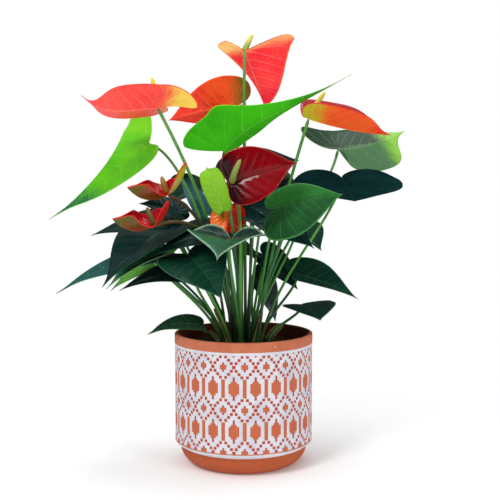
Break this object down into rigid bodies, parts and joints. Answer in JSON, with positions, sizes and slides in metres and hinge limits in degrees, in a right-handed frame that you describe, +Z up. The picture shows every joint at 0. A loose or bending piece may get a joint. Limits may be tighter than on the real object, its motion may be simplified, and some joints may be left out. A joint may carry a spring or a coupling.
{
  "type": "potted anthurium",
  "caption": "Potted anthurium: red waxy spathes with yellow spikes and glossy heart-shaped leaves on arching stems, rising from soil in a round terracotta pot.",
  "frame": {"origin": "centre of the flat base of the pot, on the surface that the pot stands on", "axes": "+Z up; the front of the plant, as the picture shows it, faces -Y; +X is to the right of that view"},
  "size_m": [0.3903, 0.2393, 0.4686],
  "materials": {
    "terracotta": "matte",
    "potting_mix": "matte",
    "spathe": "gloss",
    "spadix": "satin",
    "flower_stem": "satin",
    "leaf": "gloss",
    "leaf_stem": "satin"
  },
  "bodies": {
    "root": {"pot": "terracotta", "potting_mix": "potting_mix", "spathe_1": "spathe", "spadix_1": "spadix", "flower_stem_1": "flower_stem", "spathe_2": "spathe", "spadix_2": "spadix", "flower_stem_2": "flower_stem", "spathe_3": "spathe", "spadix_3": "spadix", "flower_stem_3": "flower_stem", "spathe_4": "spathe", "spadix_4": "spadix", "flower_stem_4": "flower_stem", "spathe_5": "spathe", "spadix_5": "spadix", "flower_stem_5": "flower_stem", "spathe_6": "spathe", "spadix_6": "spadix", "flower_stem_6": "flower_stem", "spathe_7": "spathe", "spadix_7": "spadix", "flower_stem_7": "flower_stem", "spathe_8": "spathe", "spadix_8": "spadix", "flower_stem_8": "flower_stem", "leaf_01": "leaf", "leaf_stem_01": "leaf_stem", "leaf_02": "leaf", "leaf_stem_02": "leaf_stem", "leaf_03": "leaf", "leaf_stem_03": "leaf_stem", "leaf_04": "leaf", "leaf_stem_04": "leaf_stem", "leaf_05": "leaf", "leaf_stem_05": "leaf_stem", "leaf_06": "leaf", "leaf_stem_06": "leaf_stem", "leaf_07": "leaf", "leaf_stem_07": "leaf_stem", "leaf_08": "leaf", "leaf_stem_08": "leaf_stem", "leaf_09": "leaf", "leaf_stem_09": "leaf_stem", "leaf_10": "leaf", "leaf_stem_10": "leaf_stem", "leaf_11": "leaf", "leaf_stem_11": "leaf_stem", "leaf_12": "leaf", "leaf_stem_12": "leaf_stem", "leaf_13": "leaf", "leaf_stem_13": "leaf_stem", "leaf_14": "leaf", "leaf_stem_14": "leaf_stem", "leaf_15": "leaf", "leaf_stem_15": "leaf_stem", "leaf_16": "leaf", "leaf_stem_16": "leaf_stem", "leaf_17": "leaf", "leaf_stem_17": "leaf_stem"}
  },
  "joints": []
}
